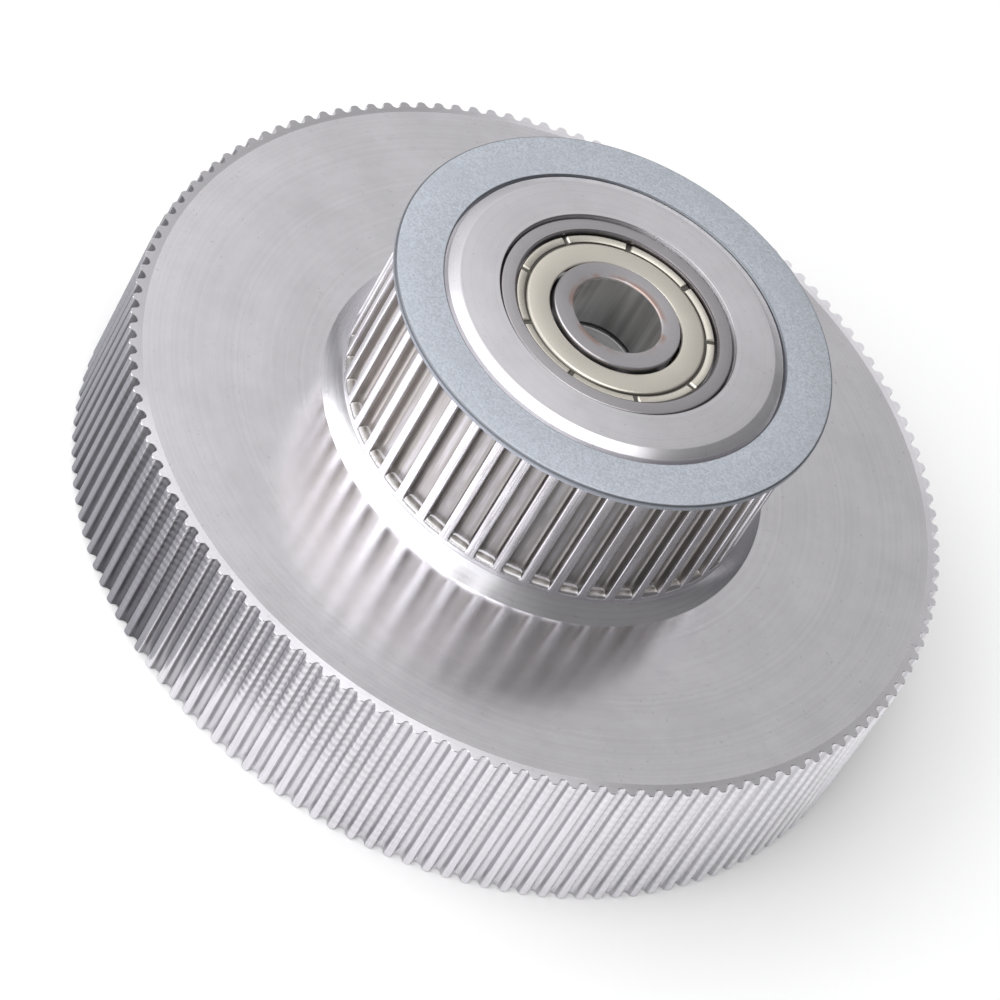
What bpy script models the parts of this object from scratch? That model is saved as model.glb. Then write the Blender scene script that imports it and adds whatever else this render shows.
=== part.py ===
"""Two-stage timing-belt wheel that idles on two ball bearings.

One turned aluminium body carries a large 2 mm pitch belt wheel, a short tapered
shoulder, a small 3 mm pitch belt wheel and a hub. A pressed steel flange sits at
the free end of the small wheel. A ball bearing is pressed into each end of the
body, and a sleeve between the two inner rings lets an axle clamp them.

Units are metres. +Z runs along the axle, and the origin is the centre of the
large wheel's back face.
"""
from math import asin, cos, pi, sin, sqrt, tau

import bmesh
import bpy
from mathutils import Matrix, Vector

MM = 0.001

# Belt wheels: tooth counts, pitches and the belt's pitch line above the teeth.
LARGE_TEETH = 135
LARGE_PITCH = 2.0 * MM
LARGE_PITCH_LINE = 0.254 * MM
LARGE_WIDTH = 17.5 * MM
LARGE_GROOVE_DEPTH = 0.75 * MM
LARGE_GROOVE_RADIUS = 0.60 * MM
SMALL_TEETH = 46
SMALL_PITCH = 3.0 * MM
SMALL_PITCH_LINE = 0.381 * MM
SMALL_GROOVE_DEPTH = 1.14 * MM
SMALL_GROOVE_WIDTH = 1.95 * MM
SMALL_GROOVE_CORNER = 0.45 * MM
LARGE_RADIUS = LARGE_TEETH * LARGE_PITCH / tau - LARGE_PITCH_LINE
SMALL_RADIUS = SMALL_TEETH * SMALL_PITCH / tau - SMALL_PITCH_LINE

# Shoulder between the wheels, and the cutter's run-out above it.
SHOULDER_RADIUS = 23.2 * MM
SHOULDER_HEIGHT = 1.5 * MM
RUN_OUT_START = 1.95 * MM
RUN_OUT_RISE = 0.5 * MM

# Flange and hub, as heights above the large wheel's front face.
FLANGE_SEAT = 17.25 * MM
FLANGE_THICKNESS = 1.0 * MM
FLANGE_RADIUS = 22.6 * MM
FLANGE_EDGE = 0.3 * MM
HUB_RADIUS = 17.3 * MM
HUB_FACE_RADIUS = 16.25 * MM
HUB_FACE = 18.75 * MM
FIT_GAP = 0.3 * MM

# Ball bearing, 9 x 24 x 7 mm.
BEARING_BORE = 9.0 * MM
BEARING_OUTSIDE = 24.0 * MM
BEARING_WIDTH = 7.0 * MM
BEARING_CHAMFER = 0.25 * MM
BALL_COUNT = 7
BALL_RADIUS = 3.969 * MM / 2
BALL_CIRCLE = 8.0 * MM
RACE_CLEARANCE = 0.08 * MM
RACE_RADIUS = 2.1 * MM
INNER_LAND = 6.5 * MM
OUTER_LAND = 9.45 * MM
SHIELD_SEAT_RADIUS = 10.4 * MM
SHIELD_SEAT_DEPTH = 0.95 * MM
SHIELD_RADIUS = 10.25 * MM
SHIELD_HOLE = 6.8 * MM
SHIELD_THICKNESS = 0.3 * MM
SHIELD_RECESS = 0.4 * MM
SHIELD_RIM = 9.5 * MM
BEARING_RECESS = 0.25 * MM
POCKET_GAP = 0.15 * MM
SHOULDER_BORE = 10.6 * MM

# Ribbon cage halves that hold the balls.
CAGE_INNER = 7.2 * MM
CAGE_OUTER = 8.8 * MM
CAGE_THICKNESS = 0.3 * MM
CAGE_SPLIT = 0.3 * MM
CAGE_POCKET = 2.25 * MM

# Sleeve between the inner rings.
SLEEVE_INNER = 4.6 * MM
SLEEVE_OUTER = 6.2 * MM

# Facets round each kind of piece.
FLANGE_STEPS = 60
RING_STEPS = 36
RACE_STEPS = 4
GROOVE_SEGMENTS = 10
POCKET_STEPS = 6
BALL_SEGMENTS = 12
BALL_RINGS = 6

TOTAL_HEIGHT = LARGE_WIDTH + HUB_FACE
REAR_CENTRE = BEARING_RECESS + BEARING_WIDTH / 2
FRONT_CENTRE = TOTAL_HEIGHT - BEARING_RECESS - BEARING_WIDTH / 2
POCKET_DEPTH = BEARING_RECESS + BEARING_WIDTH + FIT_GAP

ALUMINIUM = ("turned_aluminium", (0.80, 0.79, 0.82), 0.32, 1.0)
ZINC_STEEL = ("zinc_plated_steel", (0.56, 0.60, 0.64), 0.42, 1.0)
RING_STEEL = ("bearing_ring_steel", (0.55, 0.54, 0.56), 0.25, 1.0)
SHIELD_STEEL = ("bearing_shield_steel", (0.66, 0.63, 0.54), 0.38, 1.0)
CAGE_STEEL = ("cage_steel", (0.60, 0.58, 0.55), 0.35, 1.0)
BALL_STEEL = ("ball_steel", (0.75, 0.75, 0.76), 0.08, 1.0)
SLEEVE_METAL = ("sleeve_aluminium", (0.70, 0.70, 0.71), 0.35, 1.0)


def clear_scene():
    for item in list(bpy.data.objects):
        bpy.data.objects.remove(item, do_unlink=True)


def new_collection(name):
    collection = bpy.data.collections.new(name)
    bpy.context.scene.collection.children.link(collection)
    return collection


def material(spec):
    """The Principled material of one finish, made once and shared."""
    name, colour, roughness, metallic = spec
    found = bpy.data.materials.get(name)
    if found:
        return found
    made = bpy.data.materials.new(name)
    made.use_nodes = True
    shader = made.node_tree.nodes["Principled BSDF"]
    shader.inputs["Base Color"].default_value = (*colour, 1.0)
    shader.inputs["Roughness"].default_value = roughness
    shader.inputs["Metallic"].default_value = metallic
    made.diffuse_color = (*colour, 1.0)
    return made


def add_object(name, bm, collection, finish=None):
    mesh = bpy.data.meshes.new(name)
    bm.to_mesh(mesh)
    bm.free()
    made = bpy.data.objects.new(name, mesh)
    collection.objects.link(made)
    if finish:
        mesh.materials.append(material(finish))
        mesh.shade_smooth()
        mesh.set_sharp_from_angle(angle=0.6)
    return made


def turned(name, outline, steps, collection, finish):
    """A ring turned from a closed outline of (radius, height) points.

    The outline runs out along the top, down the outer side and back inside.
    """
    bm = bmesh.new()
    points = [bm.verts.new((radius, 0.0, height)) for radius, height in outline]
    for here, there in zip(points, points[1:] + points[:1]):
        bm.edges.new((here, there))
    made = add_object(name, bm, collection, finish)
    screw = made.modifiers.new("turn", "SCREW")
    screw.axis = "Z"
    screw.angle = tau
    screw.steps = steps
    screw.render_steps = steps
    screw.use_merge_vertices = True
    screw.merge_threshold = 0.00001
    return made


def cut(target, cutter):
    boolean = target.modifiers.new("cut_" + cutter.name, "BOOLEAN")
    boolean.operation = "DIFFERENCE"
    boolean.solver = "EXACT"
    boolean.object = cutter


def hide_cutter(cutter):
    cutter.hide_render = True
    cutter.display_type = "WIRE"
    return cutter


def repeat_around(bm, count):
    """Copies the whole mesh round the Z axis until there are count of it."""
    first = list(bm.verts) + list(bm.edges) + list(bm.faces)
    for index in range(1, count):
        copy = bmesh.ops.duplicate(bm, geom=first)["geom"]
        verts = [item for item in copy if isinstance(item, bmesh.types.BMVert)]
        turn = Matrix.Rotation(tau * index / count, 3, "Z")
        bmesh.ops.rotate(bm, verts=verts, cent=(0, 0, 0), matrix=turn)


def large_groove_cutter(collection):
    """Round rods that cut the belt grooves of the large wheel."""
    bm = bmesh.new()
    length = LARGE_WIDTH * 1.2
    centre = LARGE_RADIUS - LARGE_GROOVE_DEPTH + LARGE_GROOVE_RADIUS
    place = Matrix.Translation((centre, 0.0, LARGE_WIDTH / 2))
    bmesh.ops.create_cone(
        bm,
        cap_ends=True,
        segments=GROOVE_SEGMENTS,
        radius1=LARGE_GROOVE_RADIUS,
        radius2=LARGE_GROOVE_RADIUS,
        depth=length,
        matrix=place,
    )
    repeat_around(bm, LARGE_TEETH)
    return hide_cutter(add_object("large_groove_rods", bm, collection))


def small_groove_cutter(collection):
    """Bars with a rounded floor that cut the belt grooves of the small wheel.

    Each bar's lower end slopes, as the cutter runs out above the shoulder.
    """
    bm = bmesh.new()
    floor = SMALL_RADIUS - SMALL_GROOVE_DEPTH
    depth = SMALL_GROOVE_DEPTH * 2
    bottom = LARGE_WIDTH + RUN_OUT_START
    top = LARGE_WIDTH + FLANGE_SEAT + FLANGE_THICKNESS / 2
    bmesh.ops.create_cube(bm, size=1.0)
    bmesh.ops.scale(bm, vec=(depth, SMALL_GROOVE_WIDTH, top - bottom), verts=bm.verts)
    place = Vector((floor + depth / 2, 0.0, (top + bottom) / 2))
    bmesh.ops.translate(bm, vec=place, verts=bm.verts)
    inner = [
        edge for edge in bm.edges
        if all(vert.co.x < floor + depth / 4 for vert in edge.verts)
        and abs(edge.verts[0].co.z - edge.verts[1].co.z) > depth
    ]
    bmesh.ops.bevel(
        bm, geom=inner, affect="EDGES", offset=SMALL_GROOVE_CORNER,
        segments=2, profile=0.5, material=-1,
    )
    for vert in bm.verts:
        if vert.co.z < (top + bottom) / 2:
            vert.co.z += RUN_OUT_RISE * (SMALL_RADIUS - vert.co.x) / SMALL_GROOVE_DEPTH
    repeat_around(bm, SMALL_TEETH)
    return hide_cutter(add_object("small_groove_bars", bm, collection))


def pulley_body(parts, cutters):
    pocket = BEARING_OUTSIDE / 2 + POCKET_GAP
    front = LARGE_WIDTH
    outline = [
        (pocket, TOTAL_HEIGHT),
        (HUB_FACE_RADIUS, TOTAL_HEIGHT),
        (HUB_RADIUS, front + FLANGE_SEAT + FLANGE_THICKNESS),
        (HUB_RADIUS, front + FLANGE_SEAT),
        (SMALL_RADIUS, front + FLANGE_SEAT),
        (SMALL_RADIUS, front + SHOULDER_HEIGHT),
        (SHOULDER_RADIUS, front),
        (LARGE_RADIUS, front),
        (LARGE_RADIUS, 0.0),
        (pocket, 0.0),
        (pocket, POCKET_DEPTH),
        (SHOULDER_BORE, POCKET_DEPTH),
        (SHOULDER_BORE, TOTAL_HEIGHT - POCKET_DEPTH),
        (pocket, TOTAL_HEIGHT - POCKET_DEPTH),
    ]
    body = turned("pulley_body", outline, LARGE_TEETH, parts, ALUMINIUM)
    cut(body, large_groove_cutter(cutters))
    cut(body, small_groove_cutter(cutters))
    return body


def flange(parts):
    bottom = LARGE_WIDTH + FLANGE_SEAT + FIT_GAP / 2
    top = bottom + FLANGE_THICKNESS - FIT_GAP / 2
    hole = HUB_RADIUS + FIT_GAP
    outline = [
        (hole, top),
        (FLANGE_RADIUS - FLANGE_EDGE, top),
        (FLANGE_RADIUS, top - FLANGE_EDGE),
        (FLANGE_RADIUS, bottom + FLANGE_EDGE),
        (FLANGE_RADIUS - FLANGE_EDGE, bottom),
        (hole, bottom),
    ]
    return turned("flange", outline, FLANGE_STEPS, parts, ZINC_STEEL)


def race_arc(bottom, land, side):
    """Groove points from the upper to the lower edge of a raceway.

    side is 1 where the groove is sunk outwards and -1 where it is sunk inwards.
    """
    centre = bottom - side * RACE_RADIUS
    reach = asin(sqrt(RACE_RADIUS ** 2 - (land - centre) ** 2) / RACE_RADIUS)
    points = []
    for index in range(RACE_STEPS + 1):
        angle = reach * (1 - 2 * index / RACE_STEPS)
        points.append((centre + side * RACE_RADIUS * cos(angle), RACE_RADIUS * sin(angle)))
    return points


def raised(outline, height):
    return [(radius, z + height) for radius, z in outline]


def outer_ring(name, centre, parts):
    outside = BEARING_OUTSIDE / 2
    half = BEARING_WIDTH / 2
    seat = half - SHIELD_SEAT_DEPTH
    race = race_arc(BALL_CIRCLE + BALL_RADIUS + RACE_CLEARANCE, OUTER_LAND, 1)
    outline = [
        (SHIELD_SEAT_RADIUS, half),
        (outside - BEARING_CHAMFER, half),
        (outside, half - BEARING_CHAMFER),
        (outside, BEARING_CHAMFER - half),
        (outside - BEARING_CHAMFER, -half),
        (SHIELD_SEAT_RADIUS, -half),
        (SHIELD_SEAT_RADIUS, -seat),
        (OUTER_LAND, -seat),
        *reversed(race),
        (OUTER_LAND, seat),
        (SHIELD_SEAT_RADIUS, seat),
    ]
    return turned(name, raised(outline, centre), RING_STEPS, parts, RING_STEEL)


def inner_ring(name, centre, parts):
    bore = BEARING_BORE / 2
    half = BEARING_WIDTH / 2
    race = race_arc(BALL_CIRCLE - BALL_RADIUS - RACE_CLEARANCE, INNER_LAND, -1)
    outline = [
        (bore + BEARING_CHAMFER, half),
        (INNER_LAND, half),
        *race,
        (INNER_LAND, -half),
        (bore + BEARING_CHAMFER, -half),
        (bore, BEARING_CHAMFER - half),
        (bore, half - BEARING_CHAMFER),
    ]
    return turned(name, raised(outline, centre), RING_STEPS, parts, RING_STEEL)


def shield(name, centre, side, parts):
    """Pressed disc with a raised rim; side is 1 on the bearing's upper face."""
    face = BEARING_WIDTH / 2 - SHIELD_RECESS
    back = face - SHIELD_THICKNESS
    outline = [
        (SHIELD_HOLE, face),
        (SHIELD_RIM - SHIELD_THICKNESS, face),
        (SHIELD_RIM, face - SHIELD_THICKNESS / 2),
        (SHIELD_RIM + SHIELD_THICKNESS, face),
        (SHIELD_RADIUS, face),
        (SHIELD_RADIUS, back),
        (SHIELD_HOLE, back),
    ]
    if side < 0:
        outline = [(radius, -z) for radius, z in reversed(outline)]
    return turned(name, raised(outline, centre), RING_STEPS, parts, SHIELD_STEEL)


def cage_wave():
    """Angle and height of one ball pocket's ribbon, from web to web."""
    half_angle = CAGE_POCKET / BALL_CIRCLE
    base = CAGE_SPLIT / 2 + CAGE_THICKNESS / 2
    points = []
    for index in range(POCKET_STEPS + 1):
        turn = pi * (1 - index / POCKET_STEPS)
        height = max(base, CAGE_POCKET * sin(turn))
        points.append((half_angle * cos(turn), height))
    return points


def cage_half(name, centre, side, parts):
    """Stamped ribbon that bows over each ball and lies flat between them."""
    bm = bmesh.new()
    ring = []
    for ball in range(BALL_COUNT):
        for angle, height in cage_wave():
            turn = tau * ball / BALL_COUNT + angle
            place = (CAGE_INNER * cos(turn), CAGE_INNER * sin(turn), centre + side * height)
            ring.append(bm.verts.new(place))
    edges = [bm.edges.new(pair) for pair in zip(ring, ring[1:] + ring[:1])]
    grown = bmesh.ops.extrude_edge_only(bm, edges=edges)["geom"]
    outer = [item for item in grown if isinstance(item, bmesh.types.BMVert)]
    stretch = CAGE_OUTER / CAGE_INNER
    bmesh.ops.scale(bm, vec=(stretch, stretch, 1.0), verts=outer)
    bmesh.ops.recalc_face_normals(bm, faces=bm.faces)
    made = add_object(name, bm, parts, CAGE_STEEL)
    wall = made.modifiers.new("sheet", "SOLIDIFY")
    wall.thickness = CAGE_THICKNESS
    wall.offset = 0.0
    return made


def balls(end, centre, parts):
    for index in range(BALL_COUNT):
        bm = bmesh.new()
        bmesh.ops.create_uvsphere(
            bm, u_segments=BALL_SEGMENTS, v_segments=BALL_RINGS, radius=BALL_RADIUS
        )
        ball = add_object(f"{end}_bearing_ball_{index + 1}", bm, parts, BALL_STEEL)
        turn = tau * index / BALL_COUNT
        ball.location = (BALL_CIRCLE * cos(turn), BALL_CIRCLE * sin(turn), centre)


def bearing(end, centre, parts):
    outer_ring(f"{end}_bearing_outer_ring", centre, parts)
    inner_ring(f"{end}_bearing_inner_ring", centre, parts)
    shield(f"{end}_bearing_upper_shield", centre, 1, parts)
    shield(f"{end}_bearing_lower_shield", centre, -1, parts)
    cage_half(f"{end}_bearing_upper_cage_half", centre, 1, parts)
    cage_half(f"{end}_bearing_lower_cage_half", centre, -1, parts)
    balls(end, centre, parts)


def spacer_sleeve(parts):
    bottom = REAR_CENTRE + BEARING_WIDTH / 2 + FIT_GAP
    top = FRONT_CENTRE - BEARING_WIDTH / 2 - FIT_GAP
    outline = [
        (SLEEVE_INNER, top),
        (SLEEVE_OUTER, top),
        (SLEEVE_OUTER, bottom),
        (SLEEVE_INNER, bottom),
    ]
    return turned("spacer_sleeve", outline, RING_STEPS, parts, SLEEVE_METAL)


def main():
    clear_scene()
    parts = new_collection("belt_wheel_assembly")
    cutters = new_collection("cutters")
    pulley_body(parts, cutters)
    flange(parts)
    bearing("front", FRONT_CENTRE, parts)
    bearing("rear", REAR_CENTRE, parts)
    spacer_sleeve(parts)


main()
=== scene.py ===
"""A two-stage timing-belt wheel that idles on two shielded ball bearings.

The file is laid out as an add-on and run as a script: each operator makes one
piece, or one group of like pieces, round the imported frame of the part.
"""

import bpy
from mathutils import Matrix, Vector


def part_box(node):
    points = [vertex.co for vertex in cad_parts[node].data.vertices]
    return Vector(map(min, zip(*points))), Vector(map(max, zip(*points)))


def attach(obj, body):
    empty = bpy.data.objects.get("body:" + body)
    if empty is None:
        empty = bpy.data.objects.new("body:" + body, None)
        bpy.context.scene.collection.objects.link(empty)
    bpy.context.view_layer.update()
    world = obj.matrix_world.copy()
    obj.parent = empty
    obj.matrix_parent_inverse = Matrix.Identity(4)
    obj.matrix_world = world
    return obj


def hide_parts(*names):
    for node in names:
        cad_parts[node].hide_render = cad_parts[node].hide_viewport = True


bl_info = {
    "name": "Two-stage Belt Wheel",
    "version": (1, 0, 0),
    "blender": (4, 5, 0),
    "location": "View3D > Sidebar > Belt Wheel",
    "description": "Builds a two-stage timing-belt wheel with its flange and ball bearings",
    "category": "Mesh",
}

from collections import namedtuple
from math import acos, asin, atan2, cos, pi, radians, sin, sqrt, tau

import bmesh
import bpy
from bpy.props import FloatProperty, FloatVectorProperty, IntProperty, PointerProperty
from mathutils import Matrix, Vector

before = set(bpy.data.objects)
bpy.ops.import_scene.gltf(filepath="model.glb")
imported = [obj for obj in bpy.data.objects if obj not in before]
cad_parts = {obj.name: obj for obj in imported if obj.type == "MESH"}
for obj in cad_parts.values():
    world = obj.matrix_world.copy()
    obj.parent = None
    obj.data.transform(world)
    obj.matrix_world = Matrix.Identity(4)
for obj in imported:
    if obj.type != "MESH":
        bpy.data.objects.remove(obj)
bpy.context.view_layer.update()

MM = 0.001
UP = Vector((0.0, 0.0, 1.0))
CENTRE = Vector((0.0, 0.0, 0.0))
ENDS = ("front", "rear")
FEED_TURN = radians(248.84)  # the side where the cutter's feed marks show most
FEED_STEP = 0.92 * MM
AXLE_RADIUS = 4.5 * MM
SLEEVE_BORE_RADIUS = 4.6 * MM
COVER_STEP_RADIUS = 10.4 * MM
COVER_FOLD_RADIUS = 9.2 * MM
FLAT = 0.99  # a face whose normal is this near upright counts as flat

# Softboxes: name, azimuth and elevation in degrees, width, height, radiance and tint.
SOFTBOXES = (
    ("back_left_softbox", 130.0, 60.0, 0.60, 0.60, 0.29, (1.0, 0.985, 1.0)),
    ("left_softbox", 198.0, 40.0, 0.75, 0.62, 1.45, (1.0, 1.0, 1.0)),
    ("front_left_softbox", 245.0, 36.0, 0.50, 0.40, 1.10, (1.0, 1.0, 1.0)),
    ("front_softbox", 268.0, 26.0, 0.50, 0.24, 0.66, (0.97, 0.985, 1.0)),
    ("front_strip", 281.0, 47.0, 0.04, 0.40, 2.0, (1.0, 1.0, 1.0)),
    ("top_softbox", 305.0, 80.0, 0.62, 0.55, 1.75, (1.0, 1.0, 1.0)),
    ("high_front_softbox", 258.0, 66.0, 0.50, 0.24, 1.7, (0.98, 0.99, 1.0)),
)
LIGHT_REACH = 0.8
LIGHT_AIM = Vector((0.0, 0.0, 0.02))

WHEEL_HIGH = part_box("pulley_body")[1]
FLANGE_LOW, FLANGE_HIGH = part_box("flange")
SLEEVE_LOW, SLEEVE_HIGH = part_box("spacer_sleeve")


# How one ring of teeth is cut: the finish reads its depths, marks and painted shade from this.
Cut = namedtuple("Cut", "tip depth teeth oil_turn open_floor run_out feed_mark")


# Sizes and colours that a user may change.


def length(name, description, default):
    """A size that the user may change."""
    return FloatProperty(
        name=name, description=description, default=default, unit="LENGTH",
        subtype="DISTANCE", precision=5,
    )


def colour(name, description, default):
    """A colour that the user may change."""
    return FloatVectorProperty(
        name=name, description=description, default=default, size=3,
        subtype="COLOR", min=0.0, max=1.0,
    )


class WheelSizes(bpy.types.PropertyGroup):
    """Sizes of the turned body and its two belt wheels."""

    large_teeth: IntProperty(name="Large teeth", description="Grooves round the large wheel", default=135)
    large_width: length("Large width", "Width of the large wheel", 17.5 * MM)
    large_groove: length("Large groove", "Depth of the large wheel's grooves", 0.75 * MM)
    large_groove_radius: length("Large groove radius", "Round of the large groove's floor", 0.52 * MM)
    large_crest_radius: length("Large crest radius", "Round of the large wheel's crests", 0.42 * MM)
    small_teeth: IntProperty(name="Small teeth", description="Grooves round the small wheel", default=46)
    small_radius: length("Small radius", "Radius over the small wheel's teeth", 21.582 * MM)
    small_groove: length("Small groove", "Depth of the small wheel's grooves", 1.14 * MM)
    small_groove_width: length("Small groove width", "Width of the small grooves", 1.95 * MM)
    small_corner_radius: length("Small corner radius", "Round of the small groove's corners", 0.42 * MM)
    small_crest_radius: length("Small crest radius", "Round of the small crests", 0.16 * MM)
    shoulder_radius: length("Shoulder radius", "Foot of the tapered shoulder", 23.2 * MM)
    shoulder_height: length("Shoulder height", "Height of the tapered shoulder", 1.5 * MM)
    run_out: length("Run-out start", "Where the small grooves start", 1.95 * MM)
    run_out_rise: length("Run-out rise", "Height of the cutter's run-out", 0.55 * MM)
    seat: length("Flange seat", "Flange seat above the large wheel", 17.25 * MM)
    hub_radius: length("Hub radius", "Radius of the hub inside the flange", 17.3 * MM)
    hub_face_radius: length("Hub face radius", "Edge of the hub's flat face", 16.25 * MM)
    shoulder_bore: length("Middle bore", "Bore between the bearings", 10.6 * MM)
    edge_break: length("Edge break", "Chamfer on the toothed edges", 0.06 * MM)


class BearingSizes(bpy.types.PropertyGroup):
    """Sizes of one ball bearing."""

    balls: IntProperty(name="Balls", description="Balls in each bearing", default=7)
    pocket_gap: length("Pocket gap", "Gap round the outer ring", 0.15 * MM)
    ball_radius: length("Ball radius", "Radius of a ball", 1.9845 * MM)
    ball_circle: length("Ball circle", "Radius of the balls' circle", 8.0 * MM)
    race_radius: length("Raceway radius", "Radius of the raceway's groove", 2.1 * MM)
    race_gap: length("Raceway gap", "Gap between ball and raceway", 0.04 * MM)
    outer_land: length("Outer land", "Land inside the outer ring", 9.45 * MM)
    seat_radius: length("Cover seat radius", "Groove that holds the cover", 10.4 * MM)
    seat_depth: length("Cover seat depth", "Depth of the cover's seat", 0.95 * MM)
    chamfer: length("Ring chamfer", "Round on the rings' corners", 0.22 * MM)
    cover_recess: length("Cover recess", "Cover below the ring's face", 0.40 * MM)
    cover_sheet: length("Cover sheet", "Thickness of the cover", 0.3 * MM)
    cover_notches: IntProperty(name="Cover notches", description="Notches in the cover's rim", default=9)
    notch_turn: FloatProperty(
        name="Notch turn", description="Angle of the first notch", default=radians(25.0),
        unit="ROTATION", subtype="ANGLE",
    )
    cage_inner: length("Cage inner", "Inner radius of the cage", 7.2 * MM)
    cage_outer: length("Cage outer", "Outer radius of the cage", 8.8 * MM)
    cage_sheet: length("Cage sheet", "Thickness of the cage", 0.3 * MM)
    cage_pocket: length("Cage pocket", "Radius of a ball's pocket", 2.25 * MM)


class Finishes(bpy.types.PropertyGroup):
    """Base colours of the metals."""

    aluminium: colour("Aluminium", "Turned aluminium", (0.80, 0.785, 0.82))
    # groove is the darker colour painted into the small wheel's grooves as painted shade.
    groove: colour("Groove aluminium", "Cut grooves of the small wheel", (0.46, 0.43, 0.40))
    zinc: colour("Zinc plate", "Plated flange", (0.66, 0.70, 0.77))
    ring: colour("Ring steel", "Ground bearing rings", (0.50, 0.48, 0.50))
    cover: colour("Cover steel", "Bearing covers", (0.78, 0.74, 0.66))
    cage: colour("Cage steel", "Stamped cages", (0.55, 0.53, 0.50))
    ball: colour("Ball steel", "Polished balls", (0.72, 0.72, 0.73))
    sleeve: colour("Sleeve", "Spacer sleeve", (0.82, 0.82, 0.83))


class StageSettings(bpy.types.PropertyGroup):
    """Floor, lights and camera."""

    elevation: FloatProperty(
        name="Elevation", description="Camera height angle", default=radians(45.0), unit="ROTATION",
        subtype="ANGLE",
    )
    roll: FloatProperty(
        name="Roll", description="Camera roll", default=radians(-31.85), unit="ROTATION",
        subtype="ANGLE",
    )
    distance: length("Distance", "Camera to the large wheel's front face", 498.0 * MM)
    lens: FloatProperty(name="Lens", description="Focal length on a 36 mm sensor", default=183.6)
    aside: length("Aside", "Wheel's place right of the view's centre", 4.33 * MM)
    above: length("Above", "Wheel's place above the view's centre", 6.49 * MM)
    card_size: FloatVectorProperty(
        name="Card", description="Width and length of the dark card", default=(0.050, 0.088), size=2,
        unit="LENGTH",
    )
    card_turn: FloatProperty(name="Card turn", description="Card's place round the wheel", default=209.0)
    card_reach: length("Card reach", "From the axle to the card's middle", 62.0 * MM)
    floor_size: length("Floor size", "Side of the floor", 6.0)
    floor: colour("Floor", "Floor colour", (0.96, 0.96, 0.96))
    sky: colour("Surround", "Colour of the studio's surround", (1.0, 1.0, 1.0))


# Shader graphs.


class Signal:
    """A shader socket that arithmetic works on: each operator adds a Math node."""

    def __init__(self, graph, socket):
        self.graph = graph
        self.socket = socket

    def __add__(self, other):
        return self.graph.math("ADD", self, other)

    __radd__ = __add__

    def __sub__(self, other):
        return self.graph.math("SUBTRACT", self, other)

    def __rsub__(self, other):
        return self.graph.math("SUBTRACT", other, self)

    def __mul__(self, other):
        return self.graph.math("MULTIPLY", self, other)

    __rmul__ = __mul__

    def __pow__(self, other):
        return self.graph.math("POWER", self, other)

    def size(self):
        """The value without its sign."""
        return self.graph.math("ABSOLUTE", self)

    def cosine(self):
        """The cosine of an angle in radians."""
        return self.graph.math("COSINE", self)

    def wave(self, period):
        """A smooth wave between 0 and 1 that repeats at each period."""
        return self.graph.math("SINE", self * (tau / period)) * 0.5 + 0.5

    def band(self, low, high):
        """0 below low, 1 above high and smooth between them."""
        return self.graph.node(
            "ShaderNodeMapRange", {"interpolation_type": "SMOOTHSTEP"},
            {"Value": self, "From Min": low, "From Max": high},
        )

    def parts(self):
        """The x, y and z of a vector."""
        split = self.graph.node("ShaderNodeSeparateXYZ", inputs=[self])
        return [Signal(self.graph, socket) for socket in split.socket.node.outputs]


class Graph:
    """A node tree, and the shader node at its end."""

    def __init__(self, tree, shader):
        self.tree = tree
        self.shader = tree.nodes[shader]

    def set(self, name, value):
        """Sets one of the shader's own sockets, or links a signal to it."""
        socket = self.shader.inputs[name]
        if isinstance(value, Signal):
            self.tree.links.new(value.socket, socket)
        else:
            socket.default_value = value

    def node(self, kind, settings=None, inputs=(), output=0):
        """Adds a node, applies its settings, feeds its sockets and returns one output."""
        made = self.tree.nodes.new(kind)
        for name, value in (settings or {}).items():
            setattr(made, name, value)
        pairs = inputs.items() if isinstance(inputs, dict) else enumerate(inputs)
        for key, value in pairs:
            if isinstance(value, Signal):
                self.tree.links.new(value.socket, made.inputs[key])
            else:
                made.inputs[key].default_value = value
        return Signal(self, made.outputs[output])

    def math(self, operation, *values):
        """A Math node's result."""
        return self.node("ShaderNodeMath", {"operation": operation}, values)

    def vector(self, x, y, z):
        """One vector from three values."""
        return self.node("ShaderNodeCombineXYZ", inputs=[x, y, z])

    def noise(self, point, scale=1.0, detail=2.0, rough=0.5):
        """Smooth noise at a point, from 0 to 1."""
        return self.node(
            "ShaderNodeTexNoise",
            inputs={"Vector": point, "Scale": scale, "Detail": detail, "Roughness": rough},
        )

    def mix(self, factor, first, second):
        """Blends two colours, each a signal or three numbers."""
        colours = [end if isinstance(end, Signal) else (*end, 1.0) for end in (first, second)]
        values = dict(zip((0, 6, 7), (factor, *colours)))
        return self.node("ShaderNodeMix", {"data_type": "RGBA"}, values, output=2)


class Finish(Graph):
    """The graph of one material: metal of one colour until something varies it."""

    def __init__(self, name, base, roughness, metallic=1.0, anisotropic=0.0):
        self.material = bpy.data.materials.new(name)
        self.material.use_nodes = True
        super().__init__(self.material.node_tree, "Principled BSDF")
        self.set("Base Color", (*base, 1.0))
        self.set("Metallic", metallic)
        self.set("Roughness", roughness)
        self.set("Anisotropic", anisotropic)
        self.material.diffuse_color = (*base, 1.0)

    def place(self):
        """The point's place on the piece, as x, y and z signals."""
        return self.node("ShaderNodeTexCoord", output="Object").parts()

    def bump(self, height, distance):
        """Bends the surface by a height signal."""
        values = {"Height": height, "Distance": distance, "Strength": 1.0}
        self.set("Normal", self.node("ShaderNodeBump", inputs=values))


def shade(base, factor):
    """The same colour, lighter or darker."""
    return [min(1.0, channel * factor) for channel in base]


def between(value, outer, inner, inner_end, outer_end):
    """1 between the two inner limits and 0 past the two outer ones."""
    return value.band(outer, inner) * (1 - value.band(inner_end, outer_end))


def in_ring(x, y, middle, offsets):
    """1 in a ring round the axle, whose four limits are offsets in mm from its middle."""
    return between(x * x + y * y, *[(middle + offset * MM) ** 2 for offset in offsets])


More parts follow.
